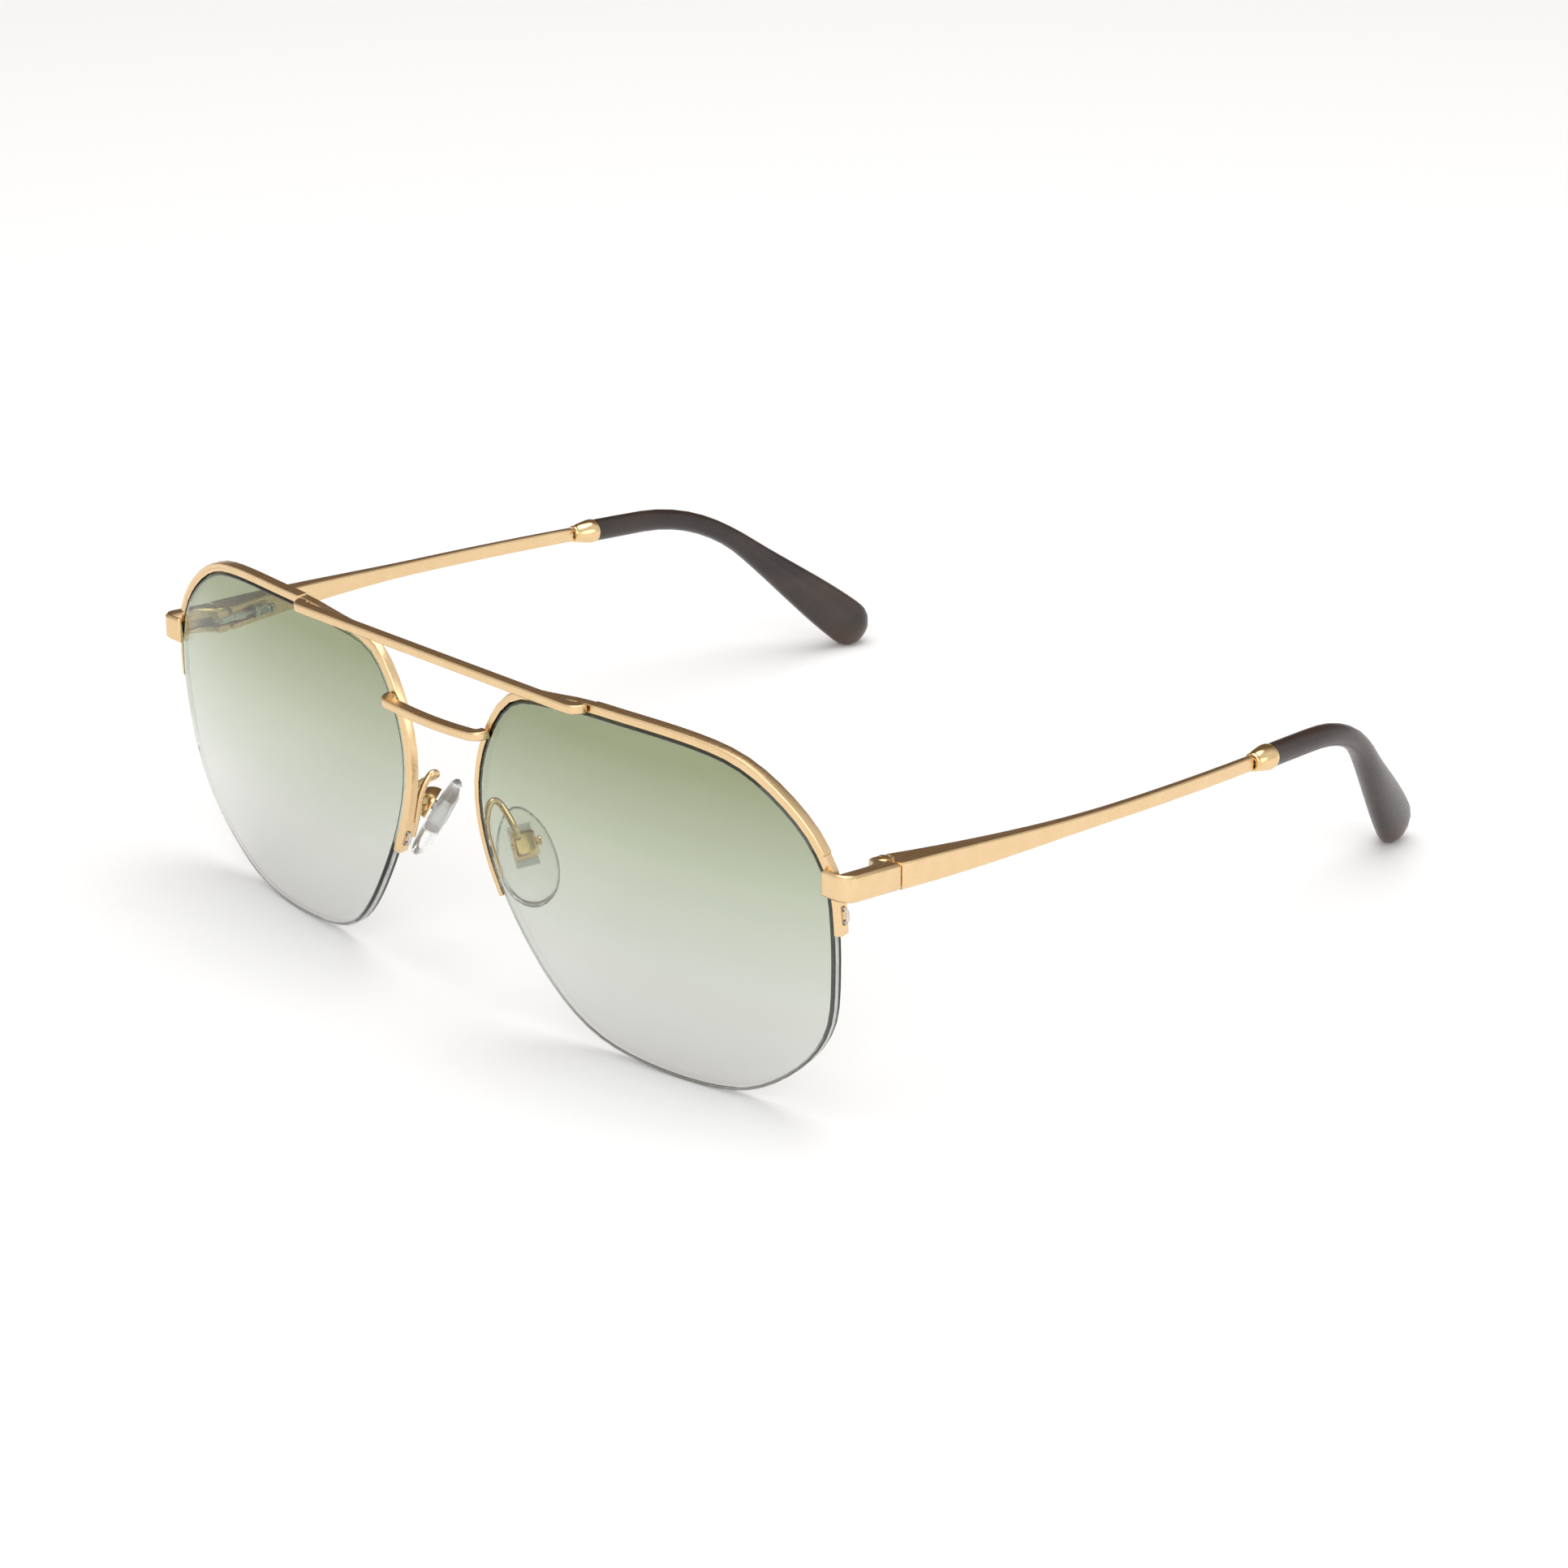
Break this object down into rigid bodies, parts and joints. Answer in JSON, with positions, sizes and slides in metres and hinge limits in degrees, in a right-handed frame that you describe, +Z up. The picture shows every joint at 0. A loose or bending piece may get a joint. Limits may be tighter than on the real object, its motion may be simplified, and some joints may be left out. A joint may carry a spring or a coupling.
{
  "type": "aviator sunglasses",
  "caption": "Thin gold half-rim aviator sunglasses with tinted gradient lenses, adjustable nose pads and spring-hinged folding temples.",
  "frame": {"origin": "under the middle of the glasses, on the surface that the lens bottoms and the temple tips stand on", "axes": "+X towards the wearer's left, +Y from the front back along the open temples, +Z up"},
  "size_m": [0.1456, 0.1502, 0.0534],
  "materials": {
    "gold_satin": "satin gold plate",
    "gold_bright": "polished gold plate",
    "spring_steel": "bright spring steel",
    "lens_tint": "tinted green, fading to pale grey at the bottom",
    "black_nylon": "black nylon",
    "clear_nylon": "clear nylon",
    "dark_acetate": "dark brown acetate, satin",
    "clear_silicone": "clear soft silicone"
  },
  "bodies": {
    "front": {"brow_bar": "gold_satin", "nose_bridge": "gold_satin", "lens_left": "lens_tint", "rim_left": "gold_satin", "rim_liner_left": "black_nylon", "lens_cord_left": "clear_nylon", "endpiece_left": "gold_satin", "hinge_screw_left": "gold_bright", "pad_arm_left": "gold_satin", "pad_box_left": "gold_bright", "pad_screw_left": "gold_bright", "lens_right": "lens_tint", "rim_right": "gold_satin", "rim_liner_right": "black_nylon", "lens_cord_right": "clear_nylon", "endpiece_right": "gold_satin", "hinge_screw_right": "gold_bright", "pad_arm_right": "gold_satin", "pad_box_right": "gold_bright", "pad_screw_right": "gold_bright"},
    "hinge_tongue_left": {"spring_slide_left": "spring_steel"},
    "temple_arm_left": {"temple_left": "gold_satin", "ferrule_left": "gold_bright", "temple_tip_left": "dark_acetate", "spring_stop_left": "spring_steel", "hinge_spring_left": "spring_steel"},
    "pad_left": {"nose_pad_left": "clear_silicone", "nose_pad_core_left": "clear_nylon"},
    "hinge_tongue_right": {"spring_slide_right": "spring_steel"},
    "temple_arm_right": {"temple_right": "gold_satin", "ferrule_right": "gold_bright", "temple_tip_right": "dark_acetate", "spring_stop_right": "spring_steel", "hinge_spring_right": "spring_steel"},
    "pad_right": {"nose_pad_right": "clear_silicone", "nose_pad_core_right": "clear_nylon"}
  },
  "joints": [
    {"name": "fold_left", "type": "hinge", "parent": "front", "child": "hinge_tongue_left", "pos_m": [0.06842, -0.05591, 0.03589], "axis": [0, 0, 1], "range_deg": [0, 86]},
    {"name": "flex_left", "type": "slide", "parent": "hinge_tongue_left", "child": "temple_arm_left", "axis": [0, 0.9974, -0.0723], "range_m": [0, 0.001], "stiffness_N_per_m": 3000, "springref_m": -0.0004, "deforming": ["hinge_spring_left"]},
    {"name": "pad_rock_left", "type": "hinge", "parent": "front", "child": "pad_left", "pos_m": [0.01063, -0.06595, 0.02581], "axis": [0.5052, 0.8473, 0.1639], "range_deg": [-8, 8]},
    {"name": "fold_right", "type": "hinge", "parent": "front", "child": "hinge_tongue_right", "pos_m": [-0.06842, -0.05591, 0.03589], "axis": [0, 0, -1], "range_deg": [0, 78]},
    {"name": "flex_right", "type": "slide", "parent": "hinge_tongue_right", "child": "temple_arm_right", "axis": [0, 0.9974, -0.0723], "range_m": [0, 0.001], "stiffness_N_per_m": 3000, "springref_m": -0.0004, "deforming": ["hinge_spring_right"]},
    {"name": "pad_rock_right", "type": "hinge", "parent": "front", "child": "pad_right", "pos_m": [-0.01063, -0.06595, 0.02581], "axis": [0.5052, -0.8473, -0.1639], "range_deg": [-8, 8]}
  ]
}
